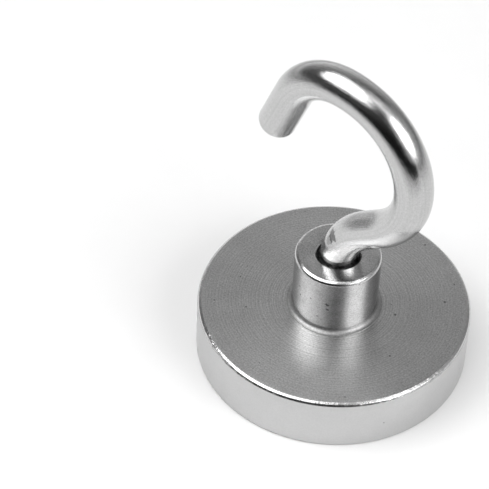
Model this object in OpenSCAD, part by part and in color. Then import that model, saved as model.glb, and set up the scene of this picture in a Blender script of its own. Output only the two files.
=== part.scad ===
// Pot magnet with a threaded neck and an open screw-in hook.
// Millimetres, +Z up. The origin is the middle of the pot's lower face, the one that meets the steel.
// The hook lies in the XZ plane and opens towards -X.

/* [Pot] */
// Outer diameter of the pot
pot_d = 32; // [30:0.1:36]
// Height of the pot, from its rim to its top
pot_h = 7.1; // [6.8:0.1:8]
// Width of the bevel round the top edge
top_bevel = 0.5; // [0.2:0.05:0.8]
// Width of the bevel round the rim's outer edge
rim_bevel = 0.2; // [0.1:0.05:0.4]
// Thickness of the pot's side wall
wall_t = 2.5; // [2:0.1:3]
// Thickness of the pot's floor, which is at the top
floor_t = 2.9; // [2.5:0.1:3.2]

/* [Magnet] */
// Diameter of the magnet
magnet_d = 25; // [23:0.1:25.4]
// Width of the bevel round both edges of the magnet
magnet_bevel = 0.25; // [0.1:0.05:0.4]
// Depth of the magnet's face below the rim
magnet_recess = 0.05; // [0.02:0.01:0.2]
// Thickness of the glue between the magnet and the floor
glue_t = 0.15; // [0.1:0.01:0.25]
// Depth of the resin's surface below the rim
resin_recess = 0.3; // [0.3:0.05:0.6]

/* [Threaded bush] */
// Outer diameter of the neck
neck_d = 10; // [9:0.1:11]
// Height of the neck above the pot
neck_h = 8.1; // [8:0.1:9]
// Width of the bevel round the top of the neck
neck_bevel = 0.4; // [0.2:0.05:0.6]
// Diameter of the foot that lies on the pot
foot_d = 11.2; // [11.1:0.1:12.4]
// Thickness of the foot's edge
foot_t = 0.1; // [0.08:0.01:0.2]
// Radius of the fillet between the neck and the foot
foot_fillet = 0.55; // [0.3:0.05:0.55]
// Diameter of the spigot that goes through the floor
spigot_d = 8; // [7:0.1:8.4]
// How far the spigot's end is spread into the countersink under the floor
swage = 0.7; // [0.3:0.1:1]
// Diameter of the countersink at the bore's mouth
mouth_d = 5.5; // [5.3:0.05:6]

/* [Thread] */
// Distance from one thread to the next
pitch = 0.8; // [0.7:0.05:0.8]
// Diameter over the hook's threads
screw_d = 4.88; // [4.8:0.01:4.94]
// Diameter at the bottom of the hook's threads
screw_root_d = 4.06; // [3.9:0.01:4.1]
// Radial play between the two threads
thread_play = 0.07; // [0.04:0.01:0.09]
// Number of threads on the hook
screw_turns = 11; // [8:1:11]
// Depth of the hook's highest thread below the top of the neck
screw_depth = 1.5; // [1.5:0.05:1.8]

/* [Hook] */
// Diameter of the hook's bar
bar_d = 4.4; // [4:0.05:4.45]
// Depth below the top of the neck at which the bar starts to bend
bend_depth = 1; // [0:0.1:1]
// Radius of the first bend, which leans the bar away from the neck
lean_r = 8.7; // [7.5:0.1:9.5]
// Length of the straight stretch after the first bend
run_length = 2.3; // [1.5:0.1:4]
// Radius of the bend at the back of the hook
back_r = 9.1; // [8:0.1:10]
// Radius of the shoulder, between the back and the crown
shoulder_r = 10.2; // [9:0.1:11]
// Radius of the crown, between the shoulder and the tip
crown_r = 6.7; // [6:0.1:8]
// Length of the straight stretch that ends in the tip
tip_length = 6.6; // [4:0.1:8]
// Radius of the rounded edge round the tip's flat end
tip_round = 0.9; // [0.4:0.05:1.5]

/* [Hidden] */
$fn = 96;

pot_r = pot_d / 2;
cavity_r = pot_r - wall_t;
cavity_h = pot_h - floor_t;
glue_bottom = cavity_h - glue_t;
magnet_r = magnet_d / 2;
spigot_r = spigot_d / 2;
neck_r = neck_d / 2;
neck_top = pot_h + neck_h;
foot_r = foot_d / 2;
foot_top = pot_h + foot_t;
mouth_r = mouth_d / 2;
bar_r = bar_d / 2;

// Thread outline: 60 degree flanks, a flat crest of an eighth of the pitch
flank_slope = tan(30);
crest_half = pitch / 16;
screw_r = screw_d / 2;
screw_root_r = screw_root_d / 2;
nut_root_r = screw_r + thread_play;
nut_crest_r = screw_root_r + thread_play;
nut_play_half = thread_play / cos(30);
ridge_half = crest_half + (screw_r - screw_root_r) * flank_slope;
groove_floor_half = crest_half + nut_play_half - thread_play * flank_slope;
groove_mouth_half = groove_floor_half + (nut_root_r - nut_crest_r) * flank_slope;

top_ridge_z = neck_top - screw_depth;
bottom_ridge_z = top_ridge_z - (screw_turns - 1) * pitch;
screw_end_z = bottom_ridge_z - pitch;

// The bends have the angles of whole-number triangles, so each stretch of the bar
// starts and ends at a round coordinate: 3-4-5 at the lean and the back, 44-117-125 at the crown.
bend_z = neck_top - bend_depth;
lean_angle = atan2(4, 3);
back_angle = lean_angle;
shoulder_angle = 90;
crown_angle = atan2(117, 44);
cutter = 60;

// Points of one ridge on the hook's shank, from its foot below to its foot above
function ridge(z) = [
    [screw_root_r, z - ridge_half],
    [screw_r, z - crest_half],
    [screw_r, z + crest_half],
    [screw_root_r, z + ridge_half]
];

// Points of one groove in the bush's bore, from its edge below to its edge above
function groove(z) = [
    [nut_crest_r, z - groove_mouth_half],
    [nut_root_r, z - groove_floor_half],
    [nut_root_r, z + groove_floor_half],
    [nut_crest_r, z + groove_mouth_half]
];

// A disc with a bevel round both edges, standing on z = low
module bevelled_disc(r, low, high, bevel) {
    rotate_extrude()
        polygon([
            [0, low], [r - bevel, low], [r, low + bevel],
            [r, high - bevel], [r - bevel, high], [0, high]
        ]);
}

// The cup: a closed top, an open underside and a countersunk hole for the bush
module steel_pot() {
    color("lightsteelblue")
        rotate_extrude()
            polygon([
                [spigot_r, pot_h], [pot_r - top_bevel, pot_h], [pot_r, pot_h - top_bevel],
                [pot_r, rim_bevel], [pot_r - rim_bevel, 0], [cavity_r, 0],
                [cavity_r, cavity_h], [spigot_r + swage, cavity_h],
                [spigot_r, cavity_h + swage]
            ]);
}

// The bore: ring grooves stand in for the thread's helix, so the hook can turn in place.
// Above the hook's highest thread the bore is relieved, then it opens in a countersink.
module threaded_bore() {
    grooves = [for (turn = [0 : screw_turns - 1]) each groove(bottom_ridge_z + (turn - 1) * pitch)];
    rotate_extrude()
        polygon(concat(
            [[0, cavity_h - pitch], [nut_crest_r, cavity_h - pitch]],
            grooves,
            [
                [nut_crest_r, top_ridge_z - groove_mouth_half],
                [nut_root_r, top_ridge_z - groove_floor_half],
                [nut_root_r, neck_top - (mouth_r - nut_root_r)],
                [mouth_r, neck_top],
                [mouth_r, neck_top + pitch],
                [0, neck_top + pitch]
            ]
        ));
}

// Neck, filleted foot, spigot and swaged end, before the bore is cut
module bush_blank() {
    rotate_extrude() {
        polygon([
            [0, cavity_h], [spigot_r + swage, cavity_h], [spigot_r, cavity_h + swage],
            [spigot_r, pot_h], [foot_r, pot_h], [foot_r, foot_top], [neck_r, foot_top],
            [neck_r, neck_top - neck_bevel], [neck_r - neck_bevel, neck_top], [0, neck_top]
        ]);
        translate([neck_r, foot_top])
            difference() {
                square(foot_fillet);
                translate([foot_fillet, foot_fillet]) circle(r = foot_fillet);
            }
    }
}

module threaded_bush() {
    color("silver")
        difference() {
            bush_blank();
            threaded_bore();
        }
}

module magnet_disc() {
    color("gainsboro") bevelled_disc(magnet_r, magnet_recess, glue_bottom, magnet_bevel);
}

module adhesive_layer() {
    color("khaki")
        translate([0, 0, glue_bottom])
            cylinder(r = magnet_r - magnet_bevel, h = glue_t);
}

// Resin between the magnet's edge and the pot's wall
module epoxy_ring() {
    color("dimgray")
        rotate_extrude()
            translate([magnet_r, resin_recess])
                square([cavity_r - magnet_r, cavity_h - resin_recess]);
}

// The hook's shank: a bevelled end, the ridges of the thread, then the plain bar
module hook_shank() {
    ridges = [for (turn = [0 : screw_turns - 1]) each ridge(bottom_ridge_z + turn * pitch)];
    runout_z = top_ridge_z + ridge_half + (bar_r - screw_root_r);
    rotate_extrude()
        polygon(concat(
            [
                [0, screw_end_z],
                [screw_root_r - pitch / 4, screw_end_z],
                [screw_root_r, screw_end_z + pitch / 4]
            ],
            ridges,
            [[bar_r, runout_z], [bar_r, bend_z], [0, bend_z]]
        ));
}

// A quarter of a ring of the bar round the Y axis, from +X to +Z
module quarter_ring(r) {
    rotate([90, 0, 0])
        rotate_extrude(angle = 90)
            translate([r, 0]) circle(r = bar_r);
}

// A bend of the bar that starts at the origin heading +Z and turns towards -X.
// The children go on from the end of the bend, in the same way.
module bend(r, angle) {
    translate([-r, 0, 0])
        if (angle == 90)
            quarter_ring(r);
        else
            difference() {
                quarter_ring(r);
                rotate([0, -angle, 0])
                    translate([0, -cutter / 2, 0]) cube(cutter);
            }
    translate([r * cos(angle) - r, 0, r * sin(angle)])
        rotate([0, -angle, 0])
            children();
}

// A straight stretch of the bar, after which the children go on
module straight(length) {
    cylinder(r = bar_r, h = length);
    translate([0, 0, length]) children();
}

// The last stretch of the bar: a flat end with a rounded edge
module tip() {
    rotate_extrude() {
        square([bar_r, tip_length - tip_round]);
        square([bar_r - tip_round, tip_length]);
        intersection() {
            translate([bar_r - tip_round, tip_length - tip_round]) circle(r = tip_round);
            square([bar_r, tip_length]);
        }
    }
}

module hook() {
    color("whitesmoke") {
        hook_shank();
        // The first bend turns the other way, so it is the mirror image of the others
        translate([0, 0, bend_z])
            mirror([1, 0, 0])
                bend(lean_r, lean_angle)
                    mirror([1, 0, 0])
                        straight(run_length)
                            bend(back_r, back_angle)
                                bend(shoulder_r, shoulder_angle)
                                    bend(crown_r, crown_angle)
                                        tip();
    }
}

steel_pot();
threaded_bush();
magnet_disc();
adhesive_layer();
epoxy_ring();
hook();
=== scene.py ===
"""Looks of the pot magnet: a satin turned pot, a threaded neck and a polished hook, in a small photo studio.

Everything is in metres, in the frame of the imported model: +Z up, the origin in the middle of the pot's
lower face, the hook in the XZ plane with its mouth towards -X. Outlines are lists of (r, z) points.
"""

import math

import bmesh
import bpy
import numpy as np
from mathutils import Matrix, Vector


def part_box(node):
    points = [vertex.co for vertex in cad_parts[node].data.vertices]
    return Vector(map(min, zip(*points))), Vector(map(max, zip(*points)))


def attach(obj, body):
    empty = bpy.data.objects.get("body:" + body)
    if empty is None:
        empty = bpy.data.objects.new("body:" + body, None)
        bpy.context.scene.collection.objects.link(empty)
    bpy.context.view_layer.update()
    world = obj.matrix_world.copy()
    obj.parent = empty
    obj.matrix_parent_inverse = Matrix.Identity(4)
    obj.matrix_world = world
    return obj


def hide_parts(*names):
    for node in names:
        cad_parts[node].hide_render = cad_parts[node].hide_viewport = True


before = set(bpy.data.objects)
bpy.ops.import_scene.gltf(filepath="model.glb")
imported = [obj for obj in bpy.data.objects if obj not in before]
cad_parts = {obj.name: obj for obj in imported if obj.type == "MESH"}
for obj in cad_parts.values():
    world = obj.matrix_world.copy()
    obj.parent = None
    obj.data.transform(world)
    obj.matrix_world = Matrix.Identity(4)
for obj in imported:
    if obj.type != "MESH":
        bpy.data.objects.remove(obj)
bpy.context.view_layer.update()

MM = 0.001

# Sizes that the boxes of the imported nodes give
_, pot_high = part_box("steel_pot")
bush_low, bush_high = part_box("threaded_bush")
magnet_low, magnet_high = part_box("magnet_disc")
resin_low, resin_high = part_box("epoxy_ring")
POT_R, POT_TOP = pot_high.x, pot_high.z
FOOT_R, NECK_TOP, BUSH_END = bush_high.x, bush_high.z, bush_low.z
MAGNET_R, MAGNET_FACE, MAGNET_BACK = magnet_high.x, magnet_low.z, magnet_high.z
CAVITY_R, CAVITY_TOP = resin_high.x, resin_high.z

# Sizes of the design that the boxes don't give
TOP_BEVEL = 0.5 * MM
RIM_BEVEL = 0.2 * MM
MAGNET_BEVEL = 0.25 * MM
NECK_R = 5.0 * MM
NECK_BEVEL = 0.4 * MM
FOOT_T = 0.1 * MM
FOOT_FILLET = 0.55 * MM
SPIGOT_R = 4.0 * MM
SWAGE = 0.7 * MM
MOUTH_R = 2.75 * MM
PITCH = 0.8 * MM
SCREW_R, SCREW_ROOT_R = 2.44 * MM, 2.03 * MM
SCREW_DEPTH = 1.5 * MM
SCREW_TURNS = 11
THREAD_PLAY = 0.07 * MM
BAR_R = 2.2 * MM
BEND_DEPTH = 1.0 * MM
LEAN_R, RUN_LENGTH, BACK_R, SHOULDER_R, CROWN_R, TIP_LENGTH = (
    size * MM for size in (8.7, 2.3, 9.1, 10.2, 6.7, 6.6)
)
LEAN_ANGLE = math.atan2(4, 3)
CROWN_ANGLE = math.atan2(117, 44)
TIP_ROUND = 0.9 * MM

# Radii of the rounded corners, finer than the design's bevels
POT_EDGE_ROUND, POT_EDGE_MIDDLE_ROUND = 0.3 * MM, 0.15 * MM
NECK_EDGE_ROUND, NECK_EDGE_MIDDLE_ROUND = 0.25 * MM, 0.12 * MM
MAGNET_FACE_ROUND = 0.15 * MM
TURNED_ROUND = 0.1 * MM
RIM_INNER_ROUND = 0.08 * MM
SHARP_ROUND = 0.05 * MM
BORE_ROUND = 0.04 * MM
FOOT_ROUND = 0.03 * MM
# Where the middle of a worn edge lies, in shares of its bevel
WORN_IN, WORN_DOWN = 0.36, 0.38
# The longest stretch of an outline's side that a corner's arc may take up, so that two arcs never meet
LONGEST_CUT = 0.45
RESIN_SAG = 0.12 * MM

# Thread outline: 60 degree flanks and a flat crest of an eighth of the pitch
FLANK_ANGLE = math.radians(30)
HALF_CREST = PITCH / 16

# How finely the meshes are cut
LATHE_STEPS = 288
BAR_SIDES = 96
CORNER_STEPS = 5
FILLET_POINTS = 12
TIP_STEPS = 8
RESIN_STEPS = 12
STRAIGHT_STEP = 0.4 * MM
BEND_STEP = math.radians(2)
SHARP_ANGLE = math.radians(40)


# ---------------------------------------------------------------- meshes

def rounded(outline):
    """An outline of (r, z) or (r, z, radius) points, with an arc of that radius at each corner."""
    points = [(p[0], p[1]) for p in outline]
    radii = [p[2] if len(p) > 2 else 0 for p in outline]
    result = []
    for i, corner in enumerate(points):
        if radii[i] <= 0 or i in (0, len(points) - 1):
            result.append(corner)
            continue
        here = Vector(corner)
        into = Vector(points[i - 1]) - here
        out = Vector(points[i + 1]) - here
        half = into.angle(out) / 2
        cut = min(radii[i] / math.tan(half), LONGEST_CUT * into.length, LONGEST_CUT * out.length)
        radius = cut * math.tan(half)
        centre = here + (into.normalized() + out.normalized()).normalized() * radius / math.sin(half)
        start = here + into.normalized() * cut - centre
        sweep = start.angle_signed(here + out.normalized() * cut - centre)
        for step in range(CORNER_STEPS + 1):
            turned = Matrix.Rotation(-sweep * step / CORNER_STEPS, 2) @ start
            result.append(tuple(centre + turned))
    return result


def arc(centre, radius, start, end):
    """Points along an arc, angles in degrees."""
    angles = np.radians(np.linspace(start, end, FILLET_POINTS))
    return [(centre[0] + radius * math.cos(a), centre[1] + radius * math.sin(a)) for a in angles]


def lathe(name, profile, closed=True):
    """A piece turned about Z from an outline; a point on the axis becomes one vertex."""
    bm = bmesh.new()
    turns = [2 * math.pi * k / LATHE_STEPS for k in range(LATHE_STEPS)]
    rings = []
    for r, z in profile:
        if r == 0:
            rings.append([bm.verts.new((0, 0, z))])
        else:
            rings.append([bm.verts.new((r * math.cos(a), r * math.sin(a), z)) for a in turns])
    following = rings[1:] + rings[:1] if closed else rings[1:]
    for a, b in zip(rings, following):
        for k in range(LATHE_STEPS):
            n = (k + 1) % LATHE_STEPS
            corners = [a[k % len(a)], a[n % len(a)], b[n % len(b)], b[k % len(b)]]
            # On the axis two corners are the same vertex, which leaves a triangle
            corners = list(dict.fromkeys(corners))
            bm.faces.new(corners)
    return finish_mesh(name, bm)


def finish_mesh(name, bm):
    """Turns a bmesh into a smooth-shaded object whose edges over SHARP_ANGLE stay sharp."""
    bmesh.ops.recalc_face_normals(bm, faces=bm.faces)
    mesh = bpy.data.meshes.new(name)
    bm.to_mesh(mesh)
    bm.free()
    mesh.shade_smooth()
    mesh.set_sharp_from_angle(angle=SHARP_ANGLE)
    piece = bpy.data.objects.new(name, mesh)
    bpy.context.scene.collection.objects.link(piece)
    return piece


# ---------------------------------------------------------------- the hook's line

def bar_path():
    """Stations along the middle of the hook's bar: (x, z, heading), heading 90 degrees being straight up."""
    stations = []

    def straight(x, z, heading, length):
        count = max(2, int(length / STRAIGHT_STEP))
        for t in np.linspace(0, length, count, endpoint=False):
            stations.append((x + t * math.cos(heading), z + t * math.sin(heading), heading))
        return x + length * math.cos(heading), z + length * math.sin(heading), heading

    def bend(x, z, heading, radius, angle):
        """A positive angle bends to the left of the heading, a negative one to the right."""
        arm = math.copysign(radius, angle)
        cx, cz = x - arm * math.sin(heading), z + arm * math.cos(heading)
        count = max(2, int(abs(angle) / BEND_STEP))
        for h in heading + np.linspace(0, angle, count, endpoint=False):
            stations.append((cx + arm * math.sin(h), cz - arm * math.cos(h), h))
        h = heading + angle
        return cx + arm * math.sin(h), cz - arm * math.cos(h), h

    start_z = NECK_TOP - SCREW_DEPTH + PITCH / 2
    place = straight(0, start_z, math.pi / 2, NECK_TOP - BEND_DEPTH - start_z)
    place = bend(*place, LEAN_R, -LEAN_ANGLE)
    place = straight(*place, RUN_LENGTH)
    place = bend(*place, BACK_R, LEAN_ANGLE)
    place = bend(*place, SHOULDER_R, math.pi / 2)
    place = bend(*place, CROWN_R, CROWN_ANGLE)
    place = straight(*place, TIP_LENGTH - TIP_ROUND)
    stations.append(place)
    return stations


def hook_rings():
    """Rings along the hook, each as its centre, the bar's heading there and its radius."""
    top_ridge = NECK_TOP - SCREW_DEPTH
    half_foot = HALF_CREST + (SCREW_R - SCREW_ROOT_R) * math.tan(FLANK_ANGLE)
    screw_end = top_ridge - SCREW_TURNS * PITCH
    end_bevel = PITCH / 4
    shank = [(SCREW_ROOT_R - end_bevel, screw_end), (SCREW_ROOT_R, screw_end + end_bevel)]
    for turn in range(SCREW_TURNS):
        z = top_ridge - (SCREW_TURNS - 1 - turn) * PITCH
        shank += [(SCREW_ROOT_R, z - half_foot), (SCREW_R, z - HALF_CREST)]
        shank += [(SCREW_R, z + HALF_CREST), (SCREW_ROOT_R, z + half_foot)]
    rings = [(Vector((0, 0, z)), math.pi / 2, r) for r, z in shank]
    stations = bar_path()
    rings += [(Vector((x, 0, z)), heading, BAR_R) for x, z, heading in stations]
    x, z, heading = stations[-1]
    ahead = Vector((math.cos(heading), 0, math.sin(heading)))
    for step in range(1, TIP_STEPS + 1):
        a = math.pi / 2 * step / TIP_STEPS
        r = BAR_R - TIP_ROUND + TIP_ROUND * math.cos(a)
        rings.append((Vector((x, 0, z)) + ahead * TIP_ROUND * math.sin(a), heading, r))
    return rings


def hook_mesh():
    """The hook: a threaded shank, the bent bar and a flat tip with a rounded edge."""
    rings = hook_rings()
    bm = bmesh.new()
    # Where each vertex is on the bar, for the material: round it, and along it in bar radii
    bar = bm.verts.layers.float_vector.new("bar")
    loops = []
    along, last = 0.0, rings[0][0]
    for centre, heading, r in rings:
        along += (centre - last).length / BAR_R
        last = centre
        # Across the bar: one direction in the hook's plane, the other along Y
        across = Vector((-math.sin(heading), 0, math.cos(heading)))
        loop = []
        for k in range(BAR_SIDES):
            a = 2 * math.pi * k / BAR_SIDES
            vertex = bm.verts.new(centre + (across * math.cos(a) + Vector((0, 1, 0)) * math.sin(a)) * r)
            vertex[bar] = (math.cos(a), math.sin(a), along)
            loop.append(vertex)
        loops.append(loop)
    for a, b in zip(loops, loops[1:]):
        for k in range(BAR_SIDES):
            n = (k + 1) % BAR_SIDES
            bm.faces.new((a[k], a[n], b[n], b[k]))
    for loop, centre in ((loops[0], rings[0][0]), (loops[-1], rings[-1][0])):
        middle = bm.verts.new(centre)
        for k in range(BAR_SIDES):
            bm.faces.new((loop[k], loop[(k + 1) % BAR_SIDES], middle))
    return finish_mesh("hook_bar", bm)


# ---------------------------------------------------------------- turned pieces

def pot_mesh():
    """The cup: a worn top edge, an open underside and a countersunk hole for the bush."""
    return lathe("pot_shell", rounded([
        (SPIGOT_R, POT_TOP), (POT_R - TOP_BEVEL, POT_TOP, POT_EDGE_ROUND),
        (POT_R - WORN_IN * TOP_BEVEL, POT_TOP - WORN_DOWN * TOP_BEVEL, POT_EDGE_MIDDLE_ROUND),
        (POT_R, POT_TOP - TOP_BEVEL, POT_EDGE_ROUND), (POT_R, RIM_BEVEL, TURNED_ROUND),
        (POT_R - RIM_BEVEL, 0, SHARP_ROUND), (CAVITY_R, 0, RIM_INNER_ROUND),
        (CAVITY_R, CAVITY_TOP, TURNED_ROUND), (SPIGOT_R + SWAGE, CAVITY_TOP), (SPIGOT_R, CAVITY_TOP + SWAGE),
    ]))


def bush_mesh():
    """The neck with its filleted foot, its spigot and the threaded bore."""
    slope = math.tan(FLANK_ANGLE)
    nut_root, nut_crest = SCREW_R + THREAD_PLAY, SCREW_ROOT_R + THREAD_PLAY
    half_floor = HALF_CREST + THREAD_PLAY / math.cos(FLANK_ANGLE) - THREAD_PLAY * slope
    half_mouth = half_floor + (nut_root - nut_crest) * slope
    top_ridge = NECK_TOP - SCREW_DEPTH
    foot_top = POT_TOP + FOOT_T
    outside = rounded([
        (SPIGOT_R + SWAGE, BUSH_END), (SPIGOT_R, BUSH_END + SWAGE), (SPIGOT_R, POT_TOP), (FOOT_R, POT_TOP),
        (FOOT_R, foot_top, FOOT_ROUND), (NECK_R + FOOT_FILLET, foot_top),
    ])
    fillet = arc((NECK_R + FOOT_FILLET, foot_top + FOOT_FILLET), FOOT_FILLET, 270, 180)
    top = rounded([
        (NECK_R, foot_top + FOOT_FILLET), (NECK_R, NECK_TOP - NECK_BEVEL, NECK_EDGE_ROUND),
        (NECK_R - WORN_IN * NECK_BEVEL, NECK_TOP - WORN_DOWN * NECK_BEVEL, NECK_EDGE_MIDDLE_ROUND),
        (NECK_R - NECK_BEVEL, NECK_TOP, NECK_EDGE_ROUND), (MOUTH_R, NECK_TOP, SHARP_ROUND),
        (nut_root, NECK_TOP - (MOUTH_R - nut_root), BORE_ROUND), (nut_root, top_ridge - half_floor),
    ])
    bore = [(nut_crest, top_ridge - half_mouth)]
    for turn in range(1, SCREW_TURNS + 1):
        z = top_ridge - turn * PITCH
        bore += [(nut_crest, z + half_mouth), (nut_root, z + half_floor)]
        bore += [(nut_root, z - half_floor), (nut_crest, z - half_mouth)]
    bore.append((nut_crest, BUSH_END))
    return lathe("neck_bush", outside[:-1] + fillet + top[1:] + bore)


def magnet_mesh():
    """The disc, with a softer bevel on its face than on its back."""
    return lathe("magnet_plated", rounded([
        (0, MAGNET_FACE), (MAGNET_R - MAGNET_BEVEL, MAGNET_FACE, MAGNET_FACE_ROUND),
        (MAGNET_R, MAGNET_FACE + MAGNET_BEVEL, MAGNET_FACE_ROUND),
        (MAGNET_R, MAGNET_BACK - MAGNET_BEVEL, TURNED_ROUND),
        (MAGNET_R - MAGNET_BEVEL, MAGNET_BACK, TURNED_ROUND), (0, MAGNET_BACK),
    ]), closed=False)


def resin_mesh():
    """The resin has shrunk a little between the two walls, so its surface is hollow."""
    middle, half = (MAGNET_R + CAVITY_R) / 2, (CAVITY_R - MAGNET_R) / 2
    surface = [
        (middle + half * t, resin_low.z + RESIN_SAG * (1 - t * t))
        for t in np.linspace(-1, 1, RESIN_STEPS + 1)
    ]
    return lathe("resin_fill", surface + [(CAVITY_R, CAVITY_TOP), (MAGNET_R, CAVITY_TOP)])


# ---------------------------------------------------------------- materials

# Brightness and roughness of the metals, and the shares of the brightness that are left in the pits and in
# the neck's painted shade: on its wall and, darker still, on its fillet
TOP_LEVEL, SIDE_LEVEL, NECK_LEVEL, HOOK_LEVEL = 0.575, 0.56, 0.58, 0.53
TOP_ROUGH, SIDE_ROUGH, NECK_ROUGH, HOOK_ROUGH = 0.33, 0.3, 0.22, 0.14
EDGE_ROUGH, FILLET_ROUGH = 0.2, 0.45
FILLET_PAINTED_SHADE, WALL_PAINTED_SHADE, POT_PIT_SHARE, NECK_PIT_SHARE = 0.62, 0.69, 0.3, 0.25
# Distance between the turning marks on the pot, and how far they stray from it, in radians of their wave
RING_SPACING = 0.29 * MM
RING_WANDER = 14.0
# Three larger pits in the neck's wall: azimuth in degrees from -Y, height, size
WALL_PITS = ((23, 11.6 * MM, 0.24 * MM), (24, 10.8 * MM, 0.18 * MM), (11, 9.3 * MM, 0.12 * MM))
# Two darker spots on the bar, just above the neck: place and size in mm, and share of the brightness
BAR_DARK_SPOTS = ((0.02, -1.66, 19.4, 0.8, 0.34), (-0.38, -1.72, 18.6, 0.75, 0.6))
# How far below a top face, or inside a wall, its own look starts and is all there
TOP_MARGIN = (0.04 * MM, 0.01 * MM)
WALL_MARGIN = (0.05 * MM, 0.02 * MM)
# Heights above the pot at which the fillet's rougher look and its painted shade start and are all there,
# going down
FILLET_START, FILLET_FULL = 0.9 * MM, 0.35 * MM
# Most of a noise lies between these two values
NOISE_LOW, NOISE_HIGH = 0.3, 0.7
GRAIN_SCALE = 5200
# The share of the cells that have no speck, how ragged specks and spots are and how wide their edges fade,
# in shares of their size
BARE_CELLS = 0.3
RAGGED_LOW, RAGGED_HIGH = 0.6, 1.4
EDGE_FADE = 0.3
# A quarter turn stretches the gloss across the turning marks
ACROSS_MARKS = 0.25


class Nodes:
    """A short way to write a material's nodes."""

    def __init__(self, name):
        self.material = bpy.data.materials.new(name)
        self.material.use_nodes = True
        self.tree = self.material.node_tree
        self.tree.nodes.clear()
        self.shader = self.add("ShaderNodeBsdfPrincipled")
        out = self.add("ShaderNodeOutputMaterial")
        self.link(self.shader.outputs[0], out.inputs["Surface"])
        self.place = self.add("ShaderNodeTexCoord").outputs["Object"]
        split = self.add("ShaderNodeSeparateXYZ")
        self.link(self.place, split.inputs[0])
        self.x, self.y, self.z = split.outputs

    def add(self, kind, **settings):
        node = self.tree.nodes.new(kind)
        for key, value in settings.items():
            setattr(node, key, value)
        return node

    def link(self, a, b):
        self.tree.links.new(a, b)

    def put(self, node, socket, value):
        """Links a socket's value to that input, or sets a constant on it."""
        if isinstance(value, bpy.types.NodeSocket):
            self.link(value, node.inputs[socket])
        else:
            node.inputs[socket].default_value = value

    def math(self, operation, a, b=0.0):
        node = self.add("ShaderNodeMath", operation=operation)
        self.put(node, 0, a)
        self.put(node, 1, b)
        return node.outputs[0]

    def plus(self, a, b):
        return self.math("ADD", a, b)

    def times(self, a, b):
        return self.math("MULTIPLY", a, b)

    def vector(self, x, y):
        node = self.add("ShaderNodeCombineXYZ")
        self.put(node, 0, x)
        self.put(node, 1, y)
        return node.outputs[0]

    def radius(self):
        """Distance from the Z axis."""
        return self.math("SQRT", self.plus(self.times(self.x, self.x), self.times(self.y, self.y)))

    def unrolled(self, radius):
        """Distance round the Z axis and height, for a wall of that radius."""
        return self.vector(self.times(self.math("ARCTAN2", self.y, self.x), radius), self.z)

    def noise(self, scale, detail=2.0, roughness=0.5, vector=None, dimensions="3D"):
        node = self.add("ShaderNodeTexNoise", noise_dimensions=dimensions)
        self.put(node, "W" if dimensions == "1D" else "Vector", self.place if vector is None else vector)
        for key, value in (("Scale", scale), ("Detail", detail), ("Roughness", roughness)):
            self.put(node, key, value)
        return node.outputs[0]

    def grain(self):
        """The fine grain of the plated pot and neck."""
        return self.noise(GRAIN_SCALE, roughness=0.6)

    def scale(self, vector, factors):
        node = self.add("ShaderNodeMapping")
        self.put(node, "Vector", vector)
        self.put(node, "Scale", factors)
        return node.outputs[0]

    def remap(self, value, low, high, to_low=0.0, to_high=1.0):
        node = self.add("ShaderNodeMapRange")
        self.put(node, "Value", value)
        for key, number in (("From Min", low), ("From Max", high), ("To Min", to_low), ("To Max", to_high)):
            self.put(node, key, number)
        return node.outputs[0]

    def vary(self, noise, low, high):
        """The noise, spread from low to high."""
        return self.remap(noise, NOISE_LOW, NOISE_HIGH, low, high)

    def blend(self, share, a, b):
        """a where share is 0, b where it is 1."""
        return self.remap(share, 0.0, 1.0, a, b)

    def dim(self, level, mask, share):
        """The level, brought down to that share of it where the mask is 1."""
        return self.times(level, self.blend(mask, 1.0, share))

    def reaches(self, value, limit, margin):
        """0 well below the limit and 1 near it; the margin says how far below the rise starts and ends."""
        return self.remap(value, limit - margin[0], limit - margin[1])

    def specks(self, vector, spacing, size):
        """1 in round specks of up to that size, about that far apart; 0 elsewhere."""
        cells = self.add("ShaderNodeTexVoronoi", voronoi_dimensions="2D")
        self.put(cells, "Vector", vector)
        self.put(cells, "Scale", 1 / spacing)
        chance = self.add("ShaderNodeSeparateColor")
        self.link(cells.outputs["Color"], chance.inputs[0])
        reach = self.remap(chance.outputs[0], BARE_CELLS, 1.0, 0.0, size / spacing)
        ragged = self.vary(self.noise(3 / size, detail=1), RAGGED_LOW, RAGGED_HIGH)
        inside = self.math("SUBTRACT", self.times(reach, ragged), cells.outputs["Distance"])
        return self.remap(inside, 0.0, EDGE_FADE * size / spacing)

    def spot(self, vector, centre, size):
        """1 in one ragged spot of that size about the centre, 0 elsewhere."""
        apart = self.add("ShaderNodeVectorMath", operation="DISTANCE")
        self.put(apart, 0, vector)
        self.put(apart, 1, centre)
        edge = self.vary(self.noise(1.5 / size, detail=1), RAGGED_LOW * size, RAGGED_HIGH * size)
        return self.remap(self.math("SUBTRACT", edge, apart.outputs["Value"]), 0.0, EDGE_FADE * size)

    def grey(self, value):
        node = self.add("ShaderNodeCombineColor")
        for i in range(3):
            self.put(node, i, value)
        return node.outputs[0]

    def bump(self, height, depth, under=None):
        """A normal for that relief, on top of the one that is under it."""
        node = self.add("ShaderNodeBump")
        self.put(node, "Strength", 1.0)
        self.put(node, "Distance", depth)
        self.put(node, "Height", height)
        if under is not None:
            self.link(under, node.inputs["Normal"])
        return node.outputs[0]

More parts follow.
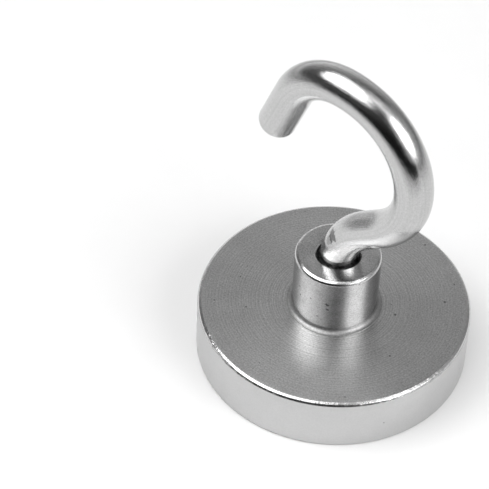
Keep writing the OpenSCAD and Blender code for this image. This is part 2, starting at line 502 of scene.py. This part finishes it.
    def metal(self, level, roughness, normal, anisotropy=0.0):
        """A metal of that brightness. Anisotropy stretches the gloss across turning marks round Z."""
        self.put(self.shader, "Metallic", 1.0)
        self.put(self.shader, "Base Color", self.grey(level))
        self.put(self.shader, "Roughness", roughness)
        if anisotropy:
            tangent = self.add("ShaderNodeTangent", direction_type="RADIAL", axis="Z")
            self.link(tangent.outputs[0], self.shader.inputs["Tangent"])
            self.put(self.shader, "Anisotropic", anisotropy)
            self.put(self.shader, "Anisotropic Rotation", ACROSS_MARKS)
        self.link(normal, self.shader.inputs["Normal"])
        return self.material

    def matt(self, level, roughness, specular):
        """Paper or cloth of that brightness."""
        self.put(self.shader, "Base Color", self.grey(level))
        self.put(self.shader, "Roughness", roughness)
        self.put(self.shader, "Specular IOR Level", specular)
        return self.material


def pot_nickel():
    """Nickel over turned steel: rings and grain on the top, a bright ragged edge and a smoother side."""
    n = Nodes("pot_nickel")
    radius = n.radius()
    on_top = n.reaches(n.z, POT_TOP, TOP_MARGIN)
    on_side = n.reaches(radius, POT_R, WALL_MARGIN)
    flat = n.math("MAXIMUM", on_top, on_side)

    # The turning marks are deeper near the neck and worn in patches; their colour also makes the top lighter
    # towards the neck
    wander = n.times(n.noise(900, vector=radius, dimensions="1D"), RING_WANDER)
    phase = n.plus(n.times(radius, 2 * math.pi / RING_SPACING), wander)
    rings = n.remap(n.math("SINE", phase), -1.0, 1.0)
    worn = n.remap(n.noise(140), 0.35, 0.65, 0.5, 1.0)
    near_neck = n.remap(radius, NECK_R, 0.95 * POT_R, 1.0, 0.35)
    rings = n.times(n.times(rings, n.times(near_neck, worn)), on_top)
    grain = n.grain()
    cloud = n.noise(500, detail=3)
    ragged = n.times(n.noise(1800, detail=3, roughness=0.6), n.math("SUBTRACT", 1.0, flat))
    normal = n.bump(rings, depth=0.003 * MM)
    normal = n.bump(grain, depth=0.003 * MM, under=normal)
    normal = n.bump(ragged, depth=0.06 * MM, under=normal)

    level = n.blend(on_side, TOP_LEVEL, SIDE_LEVEL)
    level = n.plus(level, n.times(n.vary(grain, -1.0, 1.0), n.blend(on_top, 0.02, 0.13)))
    level = n.plus(level, n.times(n.blend(rings, -0.08, 0.11), on_top))
    level = n.plus(level, n.vary(cloud, -0.012, 0.012))
    pits_top = n.times(n.specks(n.vector(n.x, n.y), spacing=3.4 * MM, size=0.16 * MM), on_top)
    pits_side = n.times(n.specks(n.unrolled(POT_R), spacing=4.5 * MM, size=0.1 * MM), on_side)
    level = n.dim(level, n.math("MAXIMUM", pits_top, pits_side), POT_PIT_SHARE)
    rough = n.blend(flat, EDGE_ROUGH, n.blend(on_side, TOP_ROUGH, SIDE_ROUGH))
    rough = n.plus(rough, n.vary(cloud, -0.015, 0.015))
    return n.metal(level, rough, normal, anisotropy=0.25)


def bush_nickel():
    """Nickel over the turned neck: painted shade on the wall, which leaves the top and edge brighter, a
    rougher fillet with darker painted shade, and a few dark pits in the wall.
    """
    n = Nodes("bush_nickel")
    wall_top = NECK_TOP - NECK_BEVEL
    on_top = n.reaches(n.z, NECK_TOP, TOP_MARGIN)
    on_wall = n.times(
        n.reaches(n.radius(), NECK_R, WALL_MARGIN),
        n.remap(n.z, wall_top, wall_top - WALL_MARGIN[0]),
    )
    in_fillet = n.remap(n.z, POT_TOP + FILLET_START, POT_TOP + FILLET_FULL)
    flat = n.math("MAXIMUM", on_top, on_wall)

    grain = n.grain()
    cloud = n.noise(700, detail=3)
    marks = n.noise(9000, vector=n.z, dimensions="1D")
    normal = n.bump(marks, depth=0.0012 * MM)
    normal = n.bump(grain, depth=0.0016 * MM, under=normal)
    normal = n.bump(cloud, depth=0.018 * MM, under=normal)

    level = n.plus(n.vary(grain, -0.12, 0.12), NECK_LEVEL)
    level = n.plus(level, n.vary(cloud, -0.06, 0.06))
    # Painted shade: the wall is painted darker than the top and edge, and the fillet darker still
    level = n.dim(level, on_wall, WALL_PAINTED_SHADE)
    level = n.dim(level, in_fillet, FILLET_PAINTED_SHADE / WALL_PAINTED_SHADE)
    wall = n.unrolled(NECK_R)
    pits = n.specks(wall, spacing=1.9 * MM, size=0.16 * MM)
    for azimuth, height, size in WALL_PITS:
        centre = (NECK_R * math.radians(azimuth - 90), height, 0)
        pits = n.math("MAXIMUM", pits, n.spot(wall, centre, size))
    level = n.dim(level, n.times(pits, on_wall), NECK_PIT_SHARE)
    rough = n.blend(flat, EDGE_ROUGH, NECK_ROUGH)
    rough = n.blend(in_fillet, rough, FILLET_ROUGH)
    return n.metal(level, rough, normal, anisotropy=0.45)


def hook_nickel():
    """Bright nickel over drawn bar: faint lines along the bar, a fine grain, small scuffs and two darker
    spots just above the neck.
    """
    n = Nodes("hook_nickel")
    bar = n.add("ShaderNodeAttribute", attribute_name="bar").outputs["Vector"]
    lines = n.noise(9, detail=3, roughness=0.6, vector=n.scale(bar, (1.0, 1.0, 0.02)))
    streaks = n.noise(16, detail=3, roughness=0.65, vector=n.scale(bar, (1.0, 1.0, 0.18)))
    grain = n.noise(4600, roughness=0.6)
    cloud = n.noise(260, detail=3)
    scuffs = n.remap(n.noise(900, detail=4, roughness=0.7), 0.55, 0.7)
    normal = n.bump(lines, depth=0.006 * MM)
    normal = n.bump(streaks, depth=0.018 * MM, under=normal)
    normal = n.bump(grain, depth=0.0012 * MM, under=normal)
    level = n.plus(n.vary(lines, -0.04, 0.04), HOOK_LEVEL)
    level = n.plus(level, n.vary(grain, -0.05, 0.05))
    level = n.plus(level, n.vary(cloud, -0.012, 0.012))
    for x, y, z, size, share in BAR_DARK_SPOTS:
        mark = n.spot(n.place, (x * MM, y * MM, z * MM), size * MM)
        level = n.dim(level, mark, share)
    rough = n.plus(n.blend(scuffs, 0.0, 0.06), HOOK_ROUGH)
    return n.metal(level, rough, normal)


def magnet_nickel():
    """Barrel-plated nickel on a sintered magnet: orange peel, rubbed by what it has gripped."""
    n = Nodes("magnet_nickel")
    rub = n.noise(90, detail=5, roughness=0.7)
    scratches = n.noise(500, detail=3, roughness=0.7, vector=n.scale(n.place, (1.0, 0.06, 1.0)))
    level = n.plus(n.remap(rub, 0.25, 0.75, 0.5, 0.58), n.remap(scratches, 0.35, 0.65, -0.02, 0.02))
    rough = n.plus(n.vary(rub, 0.14, 0.26), n.remap(scratches, 0.5, 0.7, 0.0, 0.1))
    normal = n.bump(n.noise(800), depth=0.003 * MM)
    normal = n.bump(scratches, depth=0.003 * MM, under=normal)
    return n.metal(level, rough, normal)


def plastic(name, scale, level, rough, depth, tint):
    """A cloudy resin or glue; level and rough are each a lowest and a highest value."""
    n = Nodes(name)
    cloud = n.noise(scale, detail=4)
    colour = n.add("ShaderNodeCombineColor")
    brightness = n.vary(cloud, *level)
    for i in range(3):
        n.put(colour, i, n.times(brightness, tint[i]))
    n.put(n.shader, "Base Color", colour.outputs[0])
    n.put(n.shader, "Roughness", n.vary(cloud, *rough))
    n.put(n.shader, "Normal", n.bump(cloud, depth))
    return n.material


def dress(piece, material, body, node):
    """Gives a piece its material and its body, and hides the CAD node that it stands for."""
    piece.data.materials.append(material)
    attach(piece, body)
    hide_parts(node)


resin = plastic(
    "cast_resin", scale=1200, level=(0.012, 0.03), rough=(0.22, 0.4), depth=0.01 * MM, tint=(1.0, 1.0, 1.08)
)
cured_glue = plastic(
    "cured_glue", scale=600, level=(0.4, 0.55), rough=(0.35, 0.55), depth=0.02 * MM, tint=(1.0, 0.9, 0.62)
)
dress(pot_mesh(), pot_nickel(), "magnet_base", "steel_pot")
dress(bush_mesh(), bush_nickel(), "magnet_base", "threaded_bush")
dress(magnet_mesh(), magnet_nickel(), "magnet_base", "magnet_disc")
dress(resin_mesh(), resin, "magnet_base", "epoxy_ring")
dress(hook_mesh(), hook_nickel(), "hook", "hook")

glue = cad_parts["adhesive_layer"]
glue.data.materials.clear()
glue.data.materials.append(cured_glue)


# ---------------------------------------------------------------- studio

FLOOR_HALF = 1.5
# The paper is painted darker away from the object, a painted falloff of the light: where each fade starts and
# ends, and the share that it leaves
FLOOR_PAINTED_FALLOFF = ((0.09, 0.21, 0.72), (0.2, 0.6, 0.82))

# Cards that only the polished metal shows: half sizes, and distances from the middle of the pot
CARD_AZIMUTH = 22
CARD_NOISE_SCALE = 400
BLACK_CARD_HALF, BLACK_CARD_DISTANCE = (0.2, 0.024), 0.13
GREY_CARD_HALF, GREY_CARD_DISTANCE, GREY_CARD_HEIGHT = (0.11, 0.042), 0.088, 0.0005

# Three oval lamps, each a step above the one before, make up the softbox.
# Each has its name, its middle and its size in shares of its height, and its radiance.
SOFTBOX_HEIGHT, SOFTBOX_STEP = 0.6, 0.01
SOFTBOX_LAMPS = (
    ("softbox", (-0.385, -0.575), (1.22, 1.41), 2.2),
    ("softbox_heart", (-0.58, -0.45), (0.76, 0.8), 2.2),
    ("softbox_edge", (-0.41, -0.59), (1.59, 1.83), 0.35),
)

# A round lamp on the right, aimed at the middle of the pot's lower face
ROUND_AZIMUTH, ROUND_ELEVATION, ROUND_DISTANCE, ROUND_LIFT = 88.5, 32, 0.7, 0.035
ROUND_SIZE, ROUND_RADIANCE = 0.56, 3.1

CAMERA_AIM = Vector((-7.57, -7.99, 18.0)) * MM
CAMERA_AZIMUTH, CAMERA_ELEVATION, CAMERA_ROLL = 35.36, 45.83, 2.76
CAMERA_DISTANCE = 277.4 * MM
CAMERA_LENS, CAMERA_SENSOR = 180.7, 36


def compass(azimuth, elevation):
    """The direction towards that azimuth (0 towards -Y, 90 towards +X) and elevation, in degrees."""
    a, e = math.radians(azimuth), math.radians(elevation)
    return Vector((math.sin(a) * math.cos(e), -math.cos(a) * math.cos(e), math.sin(e)))


def square_mesh(name, half_x, half_y):
    bm = bmesh.new()
    corners = ((-1, -1), (1, -1), (1, 1), (-1, 1))
    bm.faces.new([bm.verts.new((x * half_x, y * half_y, 0)) for x, y in corners])
    piece = finish_mesh(name, bm)
    return piece


def floor():
    """A sheet of white paper, with a painted falloff of the light that darkens it away from the object."""
    piece = square_mesh("floor", FLOOR_HALF, FLOOR_HALF)
    n = Nodes("floor_paper")
    level = n.vary(n.noise(60, detail=3), 0.81, 0.83)
    # Painted shade: the paper gets darker away from the middle
    for start, end, share in FLOOR_PAINTED_FALLOFF:
        level = n.dim(level, n.remap(n.radius(), start, end), share)
    piece.data.materials.append(n.matt(level, roughness=0.9, specular=0.1))


def card(name, half, place, tilt, material):
    """A card in front of the object, turned to CARD_AZIMUTH and tilted up from lying flat."""
    piece = square_mesh(name, *half)
    turn = Matrix.Rotation(math.radians(CARD_AZIMUTH), 4, "Z") @ Matrix.Rotation(math.radians(tilt), 4, "X")
    piece.matrix_world = Matrix.Translation(place) @ turn
    piece.data.materials.append(material)
    piece.visible_camera = False
    piece.visible_diffuse = False
    piece.visible_shadow = False


def cards():
    """A low black card that deepens the dark band in the metal, and a grey one that leads up to it, with a
    painted ramp of shade that only the metal shows.
    """
    ahead = compass(CARD_AZIMUTH, 0)
    n = Nodes("black_card_cloth")
    cloth = n.matt(n.vary(n.noise(CARD_NOISE_SCALE), 0.01, 0.02), roughness=1.0, specular=0.0)
    place = ahead * BLACK_CARD_DISTANCE + Vector((0, 0, BLACK_CARD_HALF[1]))
    card("black_card", BLACK_CARD_HALF, place, tilt=90, material=cloth)

    n = Nodes("grey_card_painted_shade")
    half_depth = GREY_CARD_HALF[1]
    # Painted shade: a ramp from dark near the black card to light near the object, seen only in the metal
    ramp = n.remap(n.y, -half_depth, half_depth, 0.12, 0.8)
    level = n.plus(ramp, n.vary(n.noise(CARD_NOISE_SCALE), 0.0, 0.01))
    cloth = n.matt(level, roughness=1.0, specular=0.0)
    place = ahead * GREY_CARD_DISTANCE + Vector((0, 0, GREY_CARD_HEIGHT))
    card("grey_card", GREY_CARD_HALF, place, tilt=0, material=cloth)


def lamp(name, place, rotation, size_x, size_y, radiance):
    """A round or oval area light of that radiance, seen in reflections but not by the camera."""
    light = bpy.data.lights.new(name, "AREA")
    light.shape = "ELLIPSE"
    light.size = size_x
    light.size_y = size_y
    area = math.pi / 4 * size_x * size_y
    light.energy = math.pi * area * radiance
    piece = bpy.data.objects.new(name, light)
    piece.location = place
    piece.rotation_euler = rotation
    piece.visible_camera = False
    bpy.context.scene.collection.objects.link(piece)


def softbox():
    """A softbox overhead, in front and to the left, brightest on its left and dimmer round its edge."""
    facing_down = (0, 0, 0)
    for step, (name, (x, y), (size_x, size_y), radiance) in enumerate(SOFTBOX_LAMPS):
        height = SOFTBOX_HEIGHT + step * SOFTBOX_STEP
        lamp(name, Vector((x, y, 1)) * height, facing_down, size_x * height, size_y * height, radiance)


def round_lamp():
    place = compass(ROUND_AZIMUTH, ROUND_ELEVATION) * ROUND_DISTANCE + Vector((0, 0, ROUND_LIFT))
    rotation = (-place).to_track_quat("-Z", "Y").to_euler()
    lamp("round_lamp", place, rotation, ROUND_SIZE, ROUND_SIZE, ROUND_RADIANCE)


def studio_world():
    """A room that is pale behind the object and low on its left, with patches of light on its right."""
    world = bpy.data.worlds.new("studio")
    world.use_nodes = True
    tree = world.node_tree
    tree.nodes.clear()
    new = tree.nodes.new
    out, background, place = (new("ShaderNode" + kind) for kind in ("OutputWorld", "Background", "TexCoord"))

    def towards(direction):
        """The cosine of the angle from that direction."""
        dot = new("ShaderNodeVectorMath")
        dot.operation = "DOT_PRODUCT"
        dot.inputs[1].default_value = direction
        tree.links.new(place.outputs["Generated"], dot.inputs[0])
        return dot.outputs["Value"]

    def halo(centre, stops):
        """Brightness by the angle in degrees from that direction, as (angle, brightness) stops."""
        stops = [(math.cos(math.radians(angle)), level) for angle, level in reversed(stops)]
        low, high = stops[0][0], stops[-1][0]
        spread = new("ShaderNodeMapRange")
        spread.inputs["From Min"].default_value = low
        spread.inputs["From Max"].default_value = high
        tree.links.new(towards(centre), spread.inputs["Value"])
        node = new("ShaderNodeValToRGB")
        marks = node.color_ramp.elements
        # A new ramp has its first and its last mark already
        for (position, level), mark in zip((stops[0], stops[-1]), marks):
            mark.position, mark.color = (position - low) / (high - low), (level, level, level, 1)
        for position, level in stops[1:-1]:
            marks.new((position - low) / (high - low)).color = (level, level, level, 1)
        tree.links.new(spread.outputs[0], node.inputs[0])
        return node.outputs[0]

    def combine(operation, a, b):
        node = new("ShaderNodeMath")
        node.operation = operation
        tree.links.new(a, node.inputs[0])
        tree.links.new(b, node.inputs[1])
        return node.outputs[0]

    behind = halo(compass(-148, 5), (
        (0, 0.82), (23, 0.66), (37, 0.4), (53, 0.24), (63, 0.12), (84, 0.08), (107, 0.08), (133, 0.08),
        (154, 0.02), (180, 0.0),
    ))
    low_left = halo(compass(-105, 0), ((0, 0.5), (41, 0.4), (66, 0.0)))
    low = halo(Vector((0, 0, 1)), ((78, 0.0), (85, 0.9), (90, 1.0)))
    high_right = halo(compass(105, 64), ((0, 0.95), (8, 0.9), (12, 0.65), (16, 0.4), (21, 0.2), (32, 0.0)))
    zenith = halo(compass(90, 84), ((0, 0.6), (5, 0.55), (12, 0.35), (20, 0.15), (28, 0.0)))
    lamp_edge = halo(compass(82, 26), ((16, 0.8), (21, 0.7), (23, 0.5), (27, 0.3), (30, 0.15), (40, 0.0)))
    right = halo(compass(122, 24), ((0, 0.45), (14, 0.42), (26, 0.25), (37, 0.0)))
    total = combine("MULTIPLY", low_left, low)
    for part in (behind, high_right, zenith, lamp_edge, right):
        total = combine("ADD", total, part)
    tree.links.new(total, background.inputs["Color"])
    tree.links.new(background.outputs[0], out.inputs["Surface"])
    bpy.context.scene.world = world


def camera():
    """A long lens from above, on the open side of the hook, rolled a little."""
    eye = CAMERA_AIM + compass(CAMERA_AZIMUTH, CAMERA_ELEVATION) * CAMERA_DISTANCE
    data = bpy.data.cameras.new("camera")
    data.sensor_width = CAMERA_SENSOR
    data.lens = CAMERA_LENS
    data.clip_start = 0.01
    data.clip_end = 10
    view = bpy.data.objects.new("camera", data)
    look = (CAMERA_AIM - eye).to_track_quat("-Z", "Y").to_matrix().to_4x4()
    view.matrix_world = Matrix.Translation(eye) @ look @ Matrix.Rotation(math.radians(CAMERA_ROLL), 4, "Z")
    bpy.context.scene.collection.objects.link(view)
    bpy.context.scene.camera = view


floor()
cards()
softbox()
round_lamp()
studio_world()
camera()
bpy.context.scene.view_settings.view_transform = "Standard"
